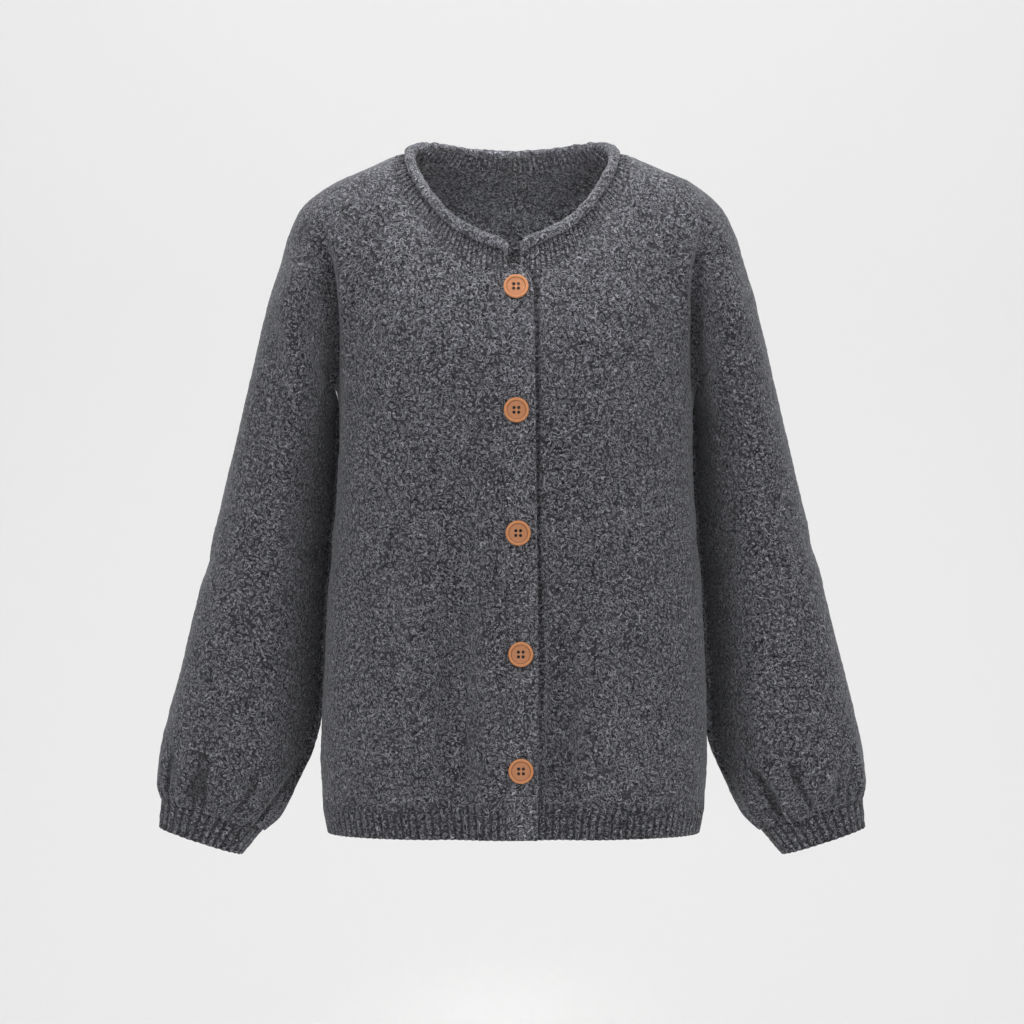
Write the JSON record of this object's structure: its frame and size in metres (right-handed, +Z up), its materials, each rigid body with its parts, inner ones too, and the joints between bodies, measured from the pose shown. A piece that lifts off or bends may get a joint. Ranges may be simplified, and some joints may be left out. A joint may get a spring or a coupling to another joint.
{
  "type": "button cardigan",
  "caption": "Crew-neck knitted cardigan that buttons down the front, filled out as worn, with dropped shoulders, ribbed hem and cuffs, and a ribbed neckband with a rolled edge.",
  "frame": {"origin": "middle of the neck base, between the two shoulder points, where the wearer's neck and shoulders hold the garment", "axes": "+Z up; the front faces -Y; the wearer's right is -X and their left is +X"},
  "size_m": [0.6552, 0.2279, 0.6588],
  "materials": {
    "knit": "matte marl knit",
    "rib": "matte ribbed knit",
    "button": "satin turned wood"
  },
  "bodies": {
    "root": {"front_right": "knit", "front_left": "knit", "back": "knit", "sleeve_right": "knit", "sleeve_left": "knit", "band_over": "knit", "band_under": "knit", "neck_roll": "knit", "neckband": "rib", "hem_front_right": "rib", "hem_front_left": "rib", "hem_back": "rib", "cuff_right": "rib", "cuff_left": "rib", "button_1": "button", "button_2": "button", "button_3": "button", "button_4": "button", "button_5": "button"}
  },
  "joints": []
}
